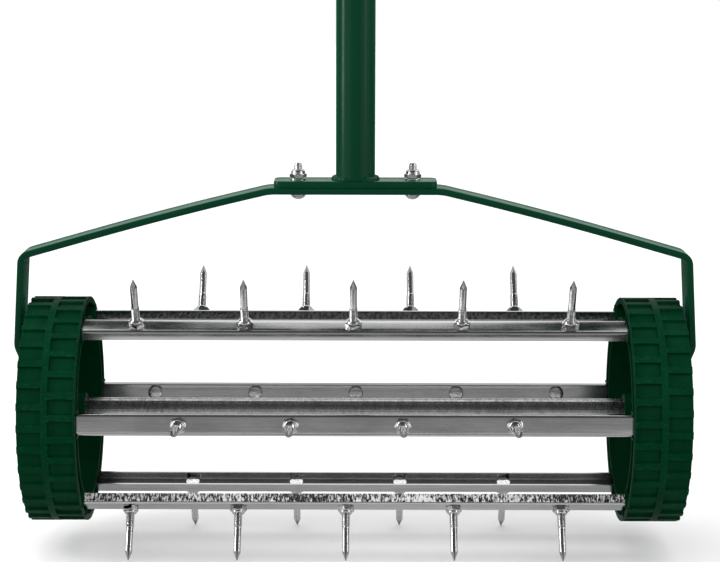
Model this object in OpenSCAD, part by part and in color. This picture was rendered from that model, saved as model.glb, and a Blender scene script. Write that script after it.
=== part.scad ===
// Hand-pushed rolling lawn aerator: a spiked drum in a forked handle.
// X runs along the drum, Y from front (-) to rear (+), Z up. The origin is on the floor, midway
// between the wheels and straight below the axle.

/* [Drum] */
// Clear width between the two wheels
clear_w = 400; // [380:10:480]
// Height of the first rail above the horizontal, in degrees
drum_turn = 4; // [0:1:29]
// Radius from the axle to the spike tips
tip_r = 119; // [116:1:124]
// Radius to the outer face of the rails
rail_r = 78; // [76:0.5:78.5]
// Width of a rail
rail_w = 16; // [15:0.5:18]
// Depth of a rail's flanges
rail_depth = 8; // [6.5:0.5:8]
// Thickness of the rails' sheet
rail_t = 1.2; // [1:0.1:1.4]
// How far a centred rail reaches into each wheel
rail_in = 20; // [15:0.5:20]

/* [Spikes] */
// Pitch of the spikes on a rail of five
pitch_of_five = 79.5; // [75:0.5:80]
// Pitch of the spikes on a rail of four
pitch_of_four = 80.5; // [75:0.5:82]
// Diameter of the thread
thread_d = 6; // [5.5:0.1:6]
// Diameter of the plain shank
shank_d = 5.2; // [4.5:0.1:5.4]
// Length of the pointed end
point_len = 6.5; // [5:0.5:9]
// Diameter of the flat head inside the rail
head_d = 11.5; // [10:0.5:12]
// Height of the head
head_h = 3.6; // [3:0.2:4]
// Width of a spike nut across its flats
spike_nut_af = 11; // [9:0.5:11.5]
// Height of a spike nut
spike_nut_h = 5.4; // [4.5:0.1:6]

/* [Wheels] */
// Radius over the tread ribs
wheel_r = 84.3; // [84:0.1:88]
// Width of a wheel
wheel_w = 42.2; // [41:0.2:44]
// Ribs round each row of the tread
rib_count = 33; // [30:1:36]
// Width of a tread rib
rib_w = 5.2; // [4:0.2:6]
// Depth of the tread
tread_depth = 2; // [1:0.1:2.2]

/* [Fork] */
// Width of the fork's flat bar
bar_w = 28; // [24:1:29]
// Thickness of the fork's flat bar
bar_t = 5; // [4:0.5:5]
// Height of the fork's underside above the axle
fork_rise = 164; // [160:1:175]
// Length of the handle plate
plate_len = 120.4; // [118:0.2:124]
// Width of the handle plate
plate_w = 29; // [29:1:32]
// Spacing of the two fork bolts
bolt_gap = 85; // [80:1:90]

/* [Handle] */
// Outside diameter of the lower tube
tube_d = 29; // [28.5:0.1:29]
// Height of the crossbar's centre above the floor
handle_h = 985; // [900:5:1050]
// Outside diameter of the upper tube and the crossbar
upper_d = 25; // [24:0.5:25]
// Length of the crossbar
crossbar_len = 350; // [320:10:400]
// Outside diameter of the grips
grip_d = 34; // [32:1:38]

/* [Hidden] */
$fn = 64;

green = [0.02, 0.27, 0.15];
zinc = [0.75, 0.75, 0.77];
black = [0.08, 0.08, 0.08];

rails = 6;
rail_step = 360 / rails;
// How far each rail sits to the side in its pockets
rail_shift = [-5.8, -1.2, 2.3, 0.5, -5.2, -6.4];
spikes_on = [4, 5, 4, 5, 4, 5];
tip_flat_r = 0.4;
plain_len = 25;
thread_end = tip_r - plain_len;
spike_hole_gap = 0.2;
spike_hole_r = thread_d / 2 + spike_hole_gap;
rail_edge_r = 2;
rail_len = clear_w + 2 * rail_in;

// The drum stands with its lowest spikes on the floor
axle_z = tip_r * cos(rail_step / 2 - drum_turn);

// Distances along the axle from the middle, for one side
inner_x = clear_w / 2;
outer_x = inner_x + wheel_w;
web_depth = 28;
web_x = inner_x + web_depth;
web_t = 3;
lip_w = 1.3;
inner_row_w = 18.3;
band_w = 5.1;
outer_row_w = wheel_w - lip_w - inner_row_w - band_w;
rim_t = 2.6;
rim_in_r = wheel_r - tread_depth - rim_t;
// The rails' flanges stand just clear of the ring wall
ring_gap = 0.4;
ring_r = rail_r - rail_depth - ring_gap;
ring_t = 2;
pocket_t = 1.8;
pocket_gap = 0.15;
pocket_reach = 1;
hub_depth = 2.7;
hub_x = inner_x + hub_depth;
hub_r = 11.5;
hub_setback = 7;
hub_face_x = outer_x - hub_setback;
boss_r = 14;
stiffener_h = 4.5;
stiffener_t = 2.4;
rib_lead = 1.5;
half_pitch = 180 / rib_count;

rod_r = 4;
running_gap = 0.05;
spacer_r = 8;
spacer_t = 1.5;
spacer_in = 18;
flange_r = 11;
flange_t = 2;
thrust_gap = 0.2;
washer_r = 8;
washer_t = 1.6;
washer_hole_r = rod_r + 0.2;
axle_nut_af = 13;
axle_nut_h = 8;
rod_over = 1.5;

// The fork's lower legs stand just outside the thrust washers
leg_in_x = hub_face_x + flange_t + thrust_gap + washer_t;
leg_x = leg_in_x + bar_t / 2;
rod_len = 2 * (leg_in_x + bar_t + washer_t + axle_nut_h + rod_over);

// The bar's middle is level, its arms fall in a faint bow to the shoulders, and its legs lean out
// a little before they turn in to the axle
level_x = 64;
level_bend_r = 40;
bow_share = 0.39;
bow_drop = 14.4;
bow_r = 2600;
shoulder_out = 6;
shoulder_drop = 46.3;
shoulder_r = 7.5;
lean_out = 4.3;
lean_end = 49.8;
leg_start = 24.5;
leg_bend_r = 12;
bend_step = 5;
axle_hole_r = rod_r + 0.3;

// Corners of the bar's middle line from the centre to the foot: [x, height above axle, radius]
shoulder_x = leg_x + shoulder_out;
fork_line = [[0, fork_rise + bar_t / 2, 0],
             [level_x, fork_rise + bar_t / 2, level_bend_r],
             [level_x + (shoulder_x - level_x) * bow_share, fork_rise - bow_drop, bow_r],
             [shoulder_x, fork_rise - shoulder_drop, shoulder_r],
             [shoulder_x + lean_out, lean_end, leg_bend_r],
             [leg_x, leg_start, leg_bend_r],
             [leg_x, -bar_w / 2, 0]];

plate_t = 5;
plate_r = 6;
fork_top = fork_rise + bar_t;
plate_top = fork_top + plate_t;
m6_r = 3;
m6_hole_r = 3.3;
// A bolt is drawn at its thread's pitch radius as far as its nut, and at full size beyond
m6_shank_r = 2.7;
m6_nut_bore_r = m6_shank_r + running_gap;
fork_head_r = 5.9;
fork_head_h = 4.8;
fork_washer_t = 1.2;
lock_nut_h = 6.4;
m6_nut_af = 11;
stud_over = 4.5;
bead = 3.4;

tube_t = 1.5;
tube_top = 450;
overlap_len = 70;
upper_t = 1.5;
joint_bolts = [20, 50];
joint_head_r = 5.2;
joint_head_h = 3.3;
joint_over = 2;
crossbar_z = handle_h - axle_z;
crossbar_t = 1.5;
bar_bead = 2;
// How far below the crossbar's middle the bead stops
bead_drop = 9.4;
grip_len = 112;
grip_end_t = 4;
grip_end_r = 5;
grip_grooves = 9;
groove_depth = 0.8;
groove_share = 0.3;
// Overshoot of the tools that cut
cut = 1;

// ---- helpers ----

// Everything drawn around the axle, raised to stand on the floor
module at_axle() {
    translate([0, 0, axle_z]) children();
}

// Local +Z turned to the outward direction of rail i, 1 being the front one
module on_rail(i) {
    at_axle()
        rotate([90 - drum_turn - rail_step * (i - 1), 0, 0])
            children();
}

// Local +Z turned along the axle towards the right, from the middle of the drum
module along_axle() {
    at_axle() rotate([0, 90, 0]) children();
}

// One on each side, mirrored
module both_sides() {
    children();
    mirror([1, 0, 0]) children();
}

module ring(r_out, r_in, h) {
    difference() {
        cylinder(r = r_out, h = h);
        translate([0, 0, -cut]) cylinder(r = r_in, h = h + 2 * cut);
    }
}

// A plain cylinder that starts at height z
module cylinder_from(z, r, h) {
    translate([0, 0, z]) cylinder(r = r, h = h);
}

module hex_nut(af, h, bore_r) {
    difference() {
        cylinder(d = af / cos(30), h = h, $fn = 6);
        translate([0, 0, -cut]) cylinder(r = bore_r, h = h + 2 * cut);
    }
}

module rounded_rect(w, d, r) {
    square([w - 2 * r, d], center = true);
    square([w, d - 2 * r], center = true);
    for (x = [-1, 1], y = [-1, 1])
        translate([x * (w / 2 - r), y * (d / 2 - r)]) circle(r = r);
}

// ---- rounded path of the fork bar ----

function unit(v) = v / norm(v);
function left_of(v) = [-v[1], v[0]];
function flat(p) = [p[0], p[1]];
function cross2(a, b) = a[0] * b[1] - a[1] * b[0];

// Points and left-hand normals round corner i of a line with corner radii
function corner(line, i) =
    let (p = flat(line[i]),
         a = unit(p - flat(line[i - 1])),
         b = unit(flat(line[i + 1]) - p),
         side = sign(cross2(a, b)),
         turn = acos(a * b),
         r = line[i][2],
         start = p - a * r * tan(turn / 2),
         centre = start + side * r * left_of(a),
         steps = max(2, ceil(turn / bend_step)))
    [for (k = [0 : steps])
        let (t = side * turn * k / steps,
             n = [left_of(a)[0] * cos(t) - left_of(a)[1] * sin(t),
                  left_of(a)[0] * sin(t) + left_of(a)[1] * cos(t)])
        [centre - side * r * n, n]];

function end_point(line, i, j) = [flat(line[i]), left_of(unit(flat(line[j]) - flat(line[i])))];

function rounded_line(line) =
    let (n = len(line) - 1)
    concat([[flat(line[0]), [0, 1]]],
           [for (i = [1 : n - 1]) each corner(line, i)],
           [[flat(line[n]), [1, 0]]]);

// The bar's outline: along its upper side from left to right, and back along its lower side
module fork_outline() {
    path = rounded_line(fork_line);
    last = len(path) - 1;
    above = [for (p = path) p[0] + p[1] * bar_t / 2];
    below = [for (p = path) p[0] - p[1] * bar_t / 2];
    polygon(concat([for (i = [last : -1 : 1]) [-above[i][0], above[i][1]]],
                   [for (i = [1 : last]) above[i]],
                   [for (i = [last : -1 : 1]) below[i]],
                   [for (i = [1 : last]) [-below[i][0], below[i][1]]]));
}

// ---- frame ----

module fork_bar() {
    color(green) at_axle()
        difference() {
            intersection() {
                rotate([90, 0, 0])
                    linear_extrude(bar_w, center = true) fork_outline();
                union() {
                    translate([-clear_w, -bar_w, 0]) cube([2 * clear_w, 2 * bar_w, 2 * fork_rise]);
                    rotate([0, 90, 0]) cylinder(d = bar_w, h = 2 * clear_w, center = true);
                }
            }
            rotate([0, 90, 0]) cylinder(r = axle_hole_r, h = 2 * clear_w, center = true);
            for (x = [-1, 1])
                translate([x * bolt_gap / 2, 0, fork_rise - cut])
                    cylinder(r = m6_hole_r, h = bar_t + 2 * cut);
        }
}

module handle_plate() {
    color(green) at_axle()
        translate([0, 0, fork_top])
            linear_extrude(plate_t)
                difference() {
                    rounded_rect(plate_len, plate_w, plate_r);
                    for (x = [-1, 1]) translate([x * bolt_gap / 2, 0]) circle(r = m6_hole_r);
                }
}

module plate_weld() {
    color(green) at_axle()
        translate([0, 0, plate_top])
            intersection() {
                rotate_extrude()
                    intersection() {
                        translate([tube_d / 2, 0]) circle(r = bead);
                        translate([tube_d / 2, 0]) square(bead);
                    }
                translate([0, 0, bead / 2]) cube([2 * tube_d, plate_w, 2 * bead], center = true);
            }
}

// The bolt holes across the tube joint, counted down from the lower tube's top
module joint_holes(r) {
    for (down = joint_bolts)
        translate([0, 0, tube_top - down])
            rotate([90, 0, 0]) cylinder(r = r, h = 2 * tube_d, center = true);
}

module lower_tube() {
    color(green) at_axle()
        difference() {
            translate([0, 0, plate_top]) ring(tube_d / 2, tube_d / 2 - tube_t, tube_top - plate_top);
            joint_holes(m6_hole_r);
        }
}

module upper_tube() {
    foot = tube_top - overlap_len;
    color(green) at_axle()
        difference() {
            translate([0, 0, foot]) ring(upper_d / 2, upper_d / 2 - upper_t, crossbar_z - foot);
            joint_holes(m6_hole_r);
            translate([0, 0, crossbar_z])
                rotate([0, 90, 0]) cylinder(d = upper_d, h = 2 * upper_d, center = true);
        }
}

module tube_bolts() {
    color(zinc) at_axle()
        for (down = joint_bolts)
            translate([0, -tube_d / 2, tube_top - down])
                rotate([-90, 0, 0]) {
                    translate([0, 0, -joint_head_h]) cylinder(r = joint_head_r, h = joint_head_h);
                    cylinder(r = m6_shank_r, h = tube_d + lock_nut_h);
                    cylinder_from(tube_d + lock_nut_h, m6_r, joint_over);
                }
}

module tube_nuts() {
    color(zinc) at_axle()
        for (down = joint_bolts)
            translate([0, tube_d / 2, tube_top - down])
                rotate([-90, 0, 0]) hex_nut(m6_nut_af, lock_nut_h, m6_nut_bore_r);
}

module crossbar() {
    color(green) at_axle()
        translate([-crossbar_len / 2, 0, crossbar_z])
            rotate([0, 90, 0]) ring(upper_d / 2, upper_d / 2 - crossbar_t, crossbar_len);
}

// A bead that follows the saddle where the upper tube meets the crossbar
module crossbar_weld() {
    color(green) at_axle()
        difference() {
            intersection() {
                translate([0, 0, crossbar_z - upper_d])
                    cylinder(r = upper_d / 2 + bar_bead, h = upper_d);
                translate([0, 0, crossbar_z])
                    rotate([0, 90, 0]) cylinder(r = upper_d / 2 + bar_bead, h = 2 * upper_d, center = true);
                translate([-upper_d, -upper_d, crossbar_z - 2 * upper_d])
                    cube([2 * upper_d, 2 * upper_d, 2 * upper_d - bead_drop]);
            }
            translate([0, 0, crossbar_z - 2 * upper_d]) cylinder(d = upper_d, h = 2 * upper_d);
            translate([0, 0, crossbar_z])
                rotate([0, 90, 0]) cylinder(d = upper_d, h = 3 * upper_d, center = true);
        }
}

module grip() {
    r = grip_d / 2;
    pitch = (grip_len - 4 * grip_end_r) / grip_grooves;
    color(black)
        translate([crossbar_len / 2 + grip_end_t, 0, 0]) rotate([0, -90, 0])
            difference() {
                union() {
                    translate([0, 0, grip_end_r]) cylinder(r = r, h = grip_len - 2 * grip_end_r);
                    cylinder(r = r - grip_end_r, h = grip_len);
                    for (z = [grip_end_r, grip_len - grip_end_r])
                        translate([0, 0, z])
                            rotate_extrude() translate([r - grip_end_r, 0]) circle(r = grip_end_r);
                }
                translate([0, 0, grip_end_t]) cylinder(d = upper_d, h = grip_len);
                for (k = [0 : grip_grooves - 1])
                    translate([0, 0, 2 * grip_end_r + (k + groove_share) * pitch])
                        ring(r + cut, r - groove_depth, pitch * groove_share);
            }
}

module right_grip() {
    at_axle() translate([0, 0, crossbar_z]) grip();
}

module left_grip() {
    mirror([1, 0, 0]) right_grip();
}

module fork_bolts() {
    nut_top = plate_top - fork_rise + fork_washer_t + lock_nut_h;
    color(zinc) at_axle()
        for (x = [-1, 1])
            translate([x * bolt_gap / 2, 0, fork_rise]) {
                cylinder(r = m6_shank_r, h = nut_top);
                cylinder_from(nut_top, m6_r, stud_over);
                intersection() {
                    translate([0, 0, fork_head_r - fork_head_h]) sphere(r = fork_head_r);
                    translate([0, 0, -fork_head_h]) cylinder(r = 2 * fork_head_r, h = fork_head_h);
                }
            }
}

module fork_washers() {
    color(zinc) at_axle()
        for (x = [-1, 1])
            translate([x * bolt_gap / 2, 0, plate_top]) ring(2 * m6_r, m6_hole_r, fork_washer_t);
}

module fork_nuts() {
    color(zinc) at_axle()
        for (x = [-1, 1])
            translate([x * bolt_gap / 2, 0, plate_top + fork_washer_t])
                rotate(30) hex_nut(m6_nut_af, lock_nut_h, m6_nut_bore_r);
}

module axle_rod() {
    color(zinc) along_axle() cylinder(r = rod_r, h = rod_len, center = true);
}

module axle_washers() {
    color(zinc) both_sides()
        along_axle() translate([0, 0, leg_in_x + bar_t]) ring(washer_r, washer_hole_r, washer_t);
}

module axle_nuts() {
    color(zinc) both_sides()
        along_axle() translate([0, 0, leg_in_x + bar_t + washer_t])
            hex_nut(axle_nut_af, axle_nut_h, rod_r + running_gap);
}

module thrust_washers() {
    color(zinc) both_sides()
        along_axle() translate([0, 0, leg_in_x - washer_t]) ring(washer_r, washer_hole_r, washer_t);
}

// ---- drum ----

// One row of tread; lead is how far its first rib stands above the first rail, in degrees
module tread_row(w, lead) {
    linear_extrude(w)
        intersection() {
            circle(r = wheel_r);
            union() {
                circle(r = wheel_r - tread_depth);
                for (k = [0 : rib_count - 1])
                    rotate(-90 - drum_turn - lead - k * 2 * half_pitch)
                        translate([0, -rib_w / 2]) square([2 * wheel_r, rib_w]);
            }
        }
}

// The rim: an inner lip, two staggered rows of ribs and the band between them
module tyre(lead) {
    translate([0, 0, inner_x]) cylinder(r = wheel_r, h = lip_w);
    translate([0, 0, inner_x + lip_w]) tread_row(inner_row_w, lead);
    translate([0, 0, inner_x + lip_w + inner_row_w]) cylinder(r = wheel_r, h = band_w);
    translate([0, 0, outer_x - outer_row_w]) tread_row(outer_row_w, lead + half_pitch);
}

// Two walls beside each rail, from the ring wall out to the rim
module rail_pockets() {
    for (i = [0 : rails - 1])
        rotate(-90 - drum_turn - i * rail_step)
            for (side = [-1, 1])
                translate([ring_r - ring_t / 2,
                           side * (rail_w / 2 + pocket_gap + pocket_t / 2) - pocket_t / 2,
                           inner_x - pocket_reach])
                    cube([rim_in_r - ring_r + rim_t, pocket_t, pocket_reach + web_depth + web_t / 2]);
}

module stiffeners() {
    for (i = [0 : rails - 1])
        rotate(-90 - drum_turn - (i + 0.5) * rail_step)
            translate([hub_r, -stiffener_t / 2, web_x + web_t / 2])
                cube([rim_in_r - hub_r + rim_t / 2, stiffener_t, web_t / 2 + stiffener_h]);
}

module wheel(lead) {
    color(green) along_axle()
        difference() {
            union() {
                difference() {
                    tyre(lead);
                    translate([0, 0, inner_x - cut]) cylinder(r = rim_in_r, h = web_depth + cut);
                    translate([0, 0, web_x + web_t]) cylinder(r = rim_in_r, h = wheel_w);
                }
                translate([0, 0, inner_x]) ring(ring_r, ring_r - ring_t, web_depth + web_t / 2);
                rail_pockets();
                stiffeners();
                translate([0, 0, hub_x]) cylinder(r = hub_r, h = web_x - hub_x + web_t / 2);
                translate([0, 0, web_x + web_t / 2])
                    cylinder(r = boss_r, h = hub_face_x - web_x - web_t / 2);
            }
            translate([0, 0, hub_x - cut]) cylinder(r = spacer_r, h = wheel_w);
        }
}

module right_wheel() {
    wheel(rib_lead);
}

// The same moulding turned round, so its ribs lead from the other side
module left_wheel() {
    mirror([1, 0, 0]) wheel(half_pitch - rib_lead);
}

module bush() {
    sleeve_x = hub_x + spacer_in;
    color(black) along_axle()
        difference() {
            union() {
                translate([0, 0, sleeve_x]) cylinder(r = spacer_r, h = hub_face_x - sleeve_x);
                translate([0, 0, hub_face_x]) cylinder(r = flange_r, h = flange_t);
            }
            translate([0, 0, sleeve_x - cut]) cylinder(r = rod_r + running_gap, h = wheel_w);
        }
}

module right_bush() {
    bush();
}

module left_bush() {
    mirror([1, 0, 0]) bush();
}

module spacer_tube() {
    half_len = hub_x + spacer_in;
    color(zinc) along_axle()
        translate([0, 0, -half_len]) ring(spacer_r, spacer_r - spacer_t, 2 * half_len);
}

function spike_xs(i) =
    let (n = spikes_on[i - 1],
         pitch = n == 5 ? pitch_of_five : pitch_of_four)
    [for (k = [0 : n - 1]) rail_shift[i - 1] + (k - (n - 1) / 2) * pitch];

// A channel with rounded outer edges, open towards the axle
module rail_section() {
    difference() {
        translate([0, rail_r - rail_depth]) rounded_rect(rail_w, 2 * rail_depth, rail_edge_r);
        translate([0, rail_r - rail_depth])
            rounded_rect(rail_w - 2 * rail_t, 2 * (rail_depth - rail_t), rail_edge_r - rail_t / 2);
        translate([-rail_w, rail_r - 3 * rail_depth]) square([2 * rail_w, 2 * rail_depth]);
    }
}

module rail(i) {
    color(zinc) on_rail(i)
        difference() {
            translate([rail_shift[i - 1], 0, 0]) rotate([90, 0, 90])
                linear_extrude(rail_len, center = true) rail_section();
            for (x = spike_xs(i))
                translate([x, 0, rail_r - rail_depth / 2]) cylinder(r = spike_hole_r, h = rail_depth);
        }
}

// A round flat head inside the rail, a threaded length, a plain shank and a point
module spikes(i) {
    seat = rail_r - rail_t;
    color(zinc) on_rail(i)
        for (x = spike_xs(i))
            translate([x, 0, 0]) {
                cylinder_from(seat - head_h, head_d / 2, head_h);
                cylinder_from(seat, thread_d / 2, thread_end - seat);
                cylinder_from(thread_end, shank_d / 2, plain_len - point_len);
                translate([0, 0, tip_r - point_len])
                    cylinder(r1 = shank_d / 2, r2 = tip_flat_r, h = point_len);
            }
}

module spike_nuts(i) {
    color(zinc) on_rail(i)
        for (x = spike_xs(i))
            translate([x, 0, rail_r]) hex_nut(spike_nut_af, spike_nut_h, thread_d / 2 + running_gap);
}

fork_bar();
handle_plate();
plate_weld();
lower_tube();
upper_tube();
tube_bolts();
tube_nuts();
crossbar();
crossbar_weld();
left_grip();
right_grip();
fork_bolts();
fork_washers();
fork_nuts();
axle_rod();
axle_washers();
axle_nuts();
thrust_washers();
left_wheel();
right_wheel();
left_bush();
right_bush();
spacer_tube();
rail(1);  // rail_1
rail(2);  // rail_2
rail(3);  // rail_3
rail(4);  // rail_4
rail(5);  // rail_5
rail(6);  // rail_6
spikes(1);  // spikes_1
spikes(2);  // spikes_2
spikes(3);  // spikes_3
spikes(4);  // spikes_4
spikes(5);  // spikes_5
spikes(6);  // spikes_6
spike_nuts(1);  // spike_nuts_1
spike_nuts(2);  // spike_nuts_2
spike_nuts(3);  // spike_nuts_3
spike_nuts(4);  // spike_nuts_4
spike_nuts(5);  // spike_nuts_5
spike_nuts(6);  // spike_nuts_6
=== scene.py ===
import math
from collections import namedtuple
from functools import partial

import bmesh
import bpy
from mathutils import Matrix, Vector, noise


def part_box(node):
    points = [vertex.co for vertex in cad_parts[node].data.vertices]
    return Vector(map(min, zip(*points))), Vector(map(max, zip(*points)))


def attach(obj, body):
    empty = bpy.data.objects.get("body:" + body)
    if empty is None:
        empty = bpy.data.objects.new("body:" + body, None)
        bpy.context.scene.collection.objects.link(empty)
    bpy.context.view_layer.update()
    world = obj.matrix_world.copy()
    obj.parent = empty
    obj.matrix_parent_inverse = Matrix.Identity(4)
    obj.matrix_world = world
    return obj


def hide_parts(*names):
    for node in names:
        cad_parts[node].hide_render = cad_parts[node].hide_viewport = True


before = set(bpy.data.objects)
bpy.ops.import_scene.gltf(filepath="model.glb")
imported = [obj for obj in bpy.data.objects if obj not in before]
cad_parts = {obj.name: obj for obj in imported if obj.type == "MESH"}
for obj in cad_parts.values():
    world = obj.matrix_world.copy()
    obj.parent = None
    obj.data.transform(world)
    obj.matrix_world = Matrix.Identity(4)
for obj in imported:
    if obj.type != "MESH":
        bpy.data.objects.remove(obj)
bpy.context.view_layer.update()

MM = 0.001
TAU = 2 * math.pi


# ---------------------------------------------------------------- places, read from the frame

def middle(node):
    low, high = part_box(node)
    return (low + high) / 2


AXLE = middle("axle_rod")
# Rails are numbered up and over the drum from the one in front, so rail 6 is the low one in front
RAILS = range(1, 7)
SPIKES_ON = {1: 4, 2: 5, 3: 4, 4: 5, 5: 4, 6: 5}
# Rail 6's slanting flanges get painted glints in short white streaks
GLINT_RAIL = 6


def rail_turn(i):
    """How far round the drum rail i is, counted up from the front horizontal."""
    at = middle(f"spike_nuts_{i}") - AXLE
    return math.atan2(at.z, -at.y)


def on_rail(i, x=0.0):
    """Local Z points out from the axle through rail i, and local X along the drum."""
    s, c = math.sin(rail_turn(i)), math.cos(rail_turn(i))
    turn = Matrix(((1, 0, 0, 0), (0, s, -c, 0), (0, c, s, 0), (0, 0, 0, 1)))
    return Matrix.Translation(AXLE + Vector((x, 0, 0))) @ turn


def along_axle(side, x=0.0):
    """Local Z points along the axle, to the right for side 1 and to the left for side -1."""
    turn = Matrix.Rotation(side * math.pi / 2, 4, "Y")
    return Matrix.Translation(AXLE + Vector((side * x, 0, 0))) @ turn


# ---------------------------------------------------------------- shapes: (vertices, faces)

Thread = namedtuple("Thread", "root crest start end pitch")
STEPS = 32
FINE_STEPS = 72


def placed(shape, matrix):
    verts, faces = shape
    return [matrix @ Vector(v) for v in verts], faces


def joined(shapes):
    """One shape that holds them all, side by side."""
    verts, faces = [], []
    for more_verts, more_faces in shapes:
        first = len(verts)
        verts.extend(more_verts)
        faces.extend([first + k for k in face] for face in more_faces)
    return verts, faces


def copies(shape, matrices):
    return joined([placed(shape, matrix) for matrix in matrices])


def skin(rings, closed=False):
    """Quads between rings of points of equal length. The ends get flat caps unless the rings meet."""
    steps, count = len(rings[0]), len(rings)
    verts = [p for ring in rings for p in ring]
    faces = []
    for j in range(count if closed else count - 1):
        a, b = j * steps, (j + 1) % count * steps
        faces.extend([a + k, a + (k + 1) % steps, b + (k + 1) % steps, b + k] for k in range(steps))
    if not closed:
        faces.append(list(range(steps)))
        faces.append(list(range((count - 1) * steps, count * steps)))
    return verts, faces


def circle(r, z, steps=STEPS):
    return [(r * math.cos(TAU * k / steps), r * math.sin(TAU * k / steps), z) for k in range(steps)]


def lathe(profile, steps=STEPS, closed=False):
    """Turns (radius, height) points round local Z."""
    return skin([circle(r, z, steps) for r, z in profile], closed)


def turned(items):
    """A turned solid from (radius, height) points, with a real thread wherever a Thread stands."""
    verts, faces = [], []

    def point(r, z, k):
        verts.append((r * math.cos(TAU * k / STEPS), r * math.sin(TAU * k / STEPS), z))
        return len(verts) - 1

    def ring(r, z):
        row = [point(r, z, k) for k in range(STEPS)]
        return row + row[:1]

    def strip(low, high):
        faces.extend([low[k], low[k + 1], high[k + 1], high[k]] for k in range(STEPS))

    def wind(below, t):
        """Winds thread t on from the ring below, and returns the ring that ends it."""
        section = ((0.0, t.root), (0.36, t.crest), (0.64, t.crest))
        turns = int((t.end - t.start) / t.pitch) - 1
        last = turns * STEPS
        wound = [[point(r, t.start + t.pitch * (share + s / STEPS), s) for share, r in section]
                 for s in range(last + 1)]
        lid = wound[last][:1]
        lid += [point(t.root, t.start + t.pitch * (turns + k / STEPS), k) for k in range(1, STEPS + 1)]
        for s in range(last):
            beyond = [wound[q + STEPS][0] if q + STEPS <= last else lid[q + STEPS - last]
                      for q in (s, s + 1)]
            a, b = wound[s] + beyond[:1], wound[s + 1] + beyond[1:]
            faces.extend([a[i], b[i], b[i + 1], a[i + 1]] for i in range(len(section)))
        strip(below, [wound[k][0] for k in range(STEPS + 1)])
        faces.append([below[0], *wound[0], wound[STEPS][0]])
        above = ring(t.root, t.end)
        strip(lid, above)
        faces.append([*wound[last], lid[-1], above[0]])
        return above

    row = None
    for item in items:
        if isinstance(item, Thread):
            row = wind(row, item)
            continue
        new = ring(*item)
        if row is None:
            faces.append(new[:-1])
        else:
            strip(row, new)
        row = new
    faces.append(row[:-1])
    return verts, faces


def hexagon(k, steps, flat):
    """Distance from the centre of a hexagon to its side, at step k of a full turn."""
    t = (TAU * k / steps) % (TAU / 6) - TAU / 12
    return flat / math.cos(t)


def nut(width, height, bore, collar, collar_share=0.84):
    """A lock nut: a hexagon with turned-off corners, and a rounded collar over it."""
    steps, arc_steps, flat = 60, 5, width / 2
    face_r = 0.95 * flat
    hex_top = height - collar
    slope = math.tan(math.radians(30))
    radii = [hexagon(k, steps, flat) for k in range(steps)]

    def corner_row(z, sign):
        return [(r * math.cos(TAU * k / steps), r * math.sin(TAU * k / steps),
                 z + sign * slope * max(0.0, r - face_r)) for k, r in enumerate(radii)]

    lead = 0.5 * MM
    rows = [circle(bore, lead, steps), circle(bore + lead, 0, steps), circle(face_r, 0, steps),
            corner_row(0, 1), corner_row(hex_top, -1), circle(face_r, hex_top, steps)]
    collar_r = collar_share * flat
    rows.append(circle(collar_r, hex_top + 0.1 * collar, steps))
    for k in range(1, arc_steps + 1):
        t = TAU / 4 * k / arc_steps
        rows.append(circle(collar_r - 0.55 * collar * (1 - math.cos(t)),
                           hex_top + collar * (0.3 + 0.7 * math.sin(t)), steps))
    rows.append(circle(bore + lead, height, steps))
    rows.append(circle(bore, height - lead, steps))
    return skin(rows, closed=True)


def drill(r, low, high, steps=STEPS):
    """A round cutter along local Z."""
    return lathe([(r, low), (r, high)], steps)


def hollow(r_in, r_out, low, high, edge, steps):
    """A tube or washer along local Z with softened rims."""
    return lathe([(r_in, low + edge), (r_in + edge, low), (r_out - edge, low), (r_out, low + edge),
                  (r_out, high - edge), (r_out - edge, high), (r_in + edge, high), (r_in, high - edge)],
                 steps, closed=True)


def washer(r_out, r_in, thickness):
    return hollow(r_in, r_out, 0, thickness, 0.2 * thickness, steps=48)


def rounded_rect(w, d, r, steps=6):
    """Corner points of a rounded rectangle, counter-clockwise."""
    points = []
    for quarter, (sx, sy) in enumerate(((1, 1), (-1, 1), (-1, -1), (1, -1))):
        for k in range(steps + 1):
            t = TAU / 4 * (quarter + k / steps)
            points.append((sx * (w / 2 - r) + r * math.cos(t), sy * (d / 2 - r) + r * math.sin(t)))
    return points


def slab(w, d, r, low, high, edge, steps=6):
    """An upright rounded-rectangle prism whose top and bottom edges are rounded too."""
    rings, edge_steps = [], 3
    for z, sign in ((low, -1), (high, 1)):
        for k in range(edge_steps + 1):
            t = TAU / 4 * (k / edge_steps if sign > 0 else 1 - k / edge_steps)
            inset = edge * (1 - math.cos(t))
            outline = rounded_rect(w - 2 * inset, d - 2 * inset, max(r - inset, 0.05 * MM), steps)
            rings.append([(x, y, z - sign * edge * (1 - math.sin(t))) for x, y in outline])
    return skin(rings)


# ---------------------------------------------------------------- pieces

SAME_POINT = 0.5e-6


def add_mesh(name, shape):
    mesh = bpy.data.meshes.new(name)
    verts, faces = shape
    mesh.from_pydata([tuple(v) for v in verts], [], faces)
    mesh.update()
    made = bpy.data.objects.new(name, mesh)
    bpy.context.scene.collection.objects.link(made)
    turn_outward(mesh)
    return made


def turn_outward(mesh):
    """Makes every face look away from the solid it bounds."""
    work = bmesh.new()
    work.from_mesh(mesh)
    bmesh.ops.remove_doubles(work, verts=work.verts, dist=SAME_POINT)
    bmesh.ops.recalc_face_normals(work, faces=work.faces)
    work.to_mesh(mesh)
    work.free()


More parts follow.
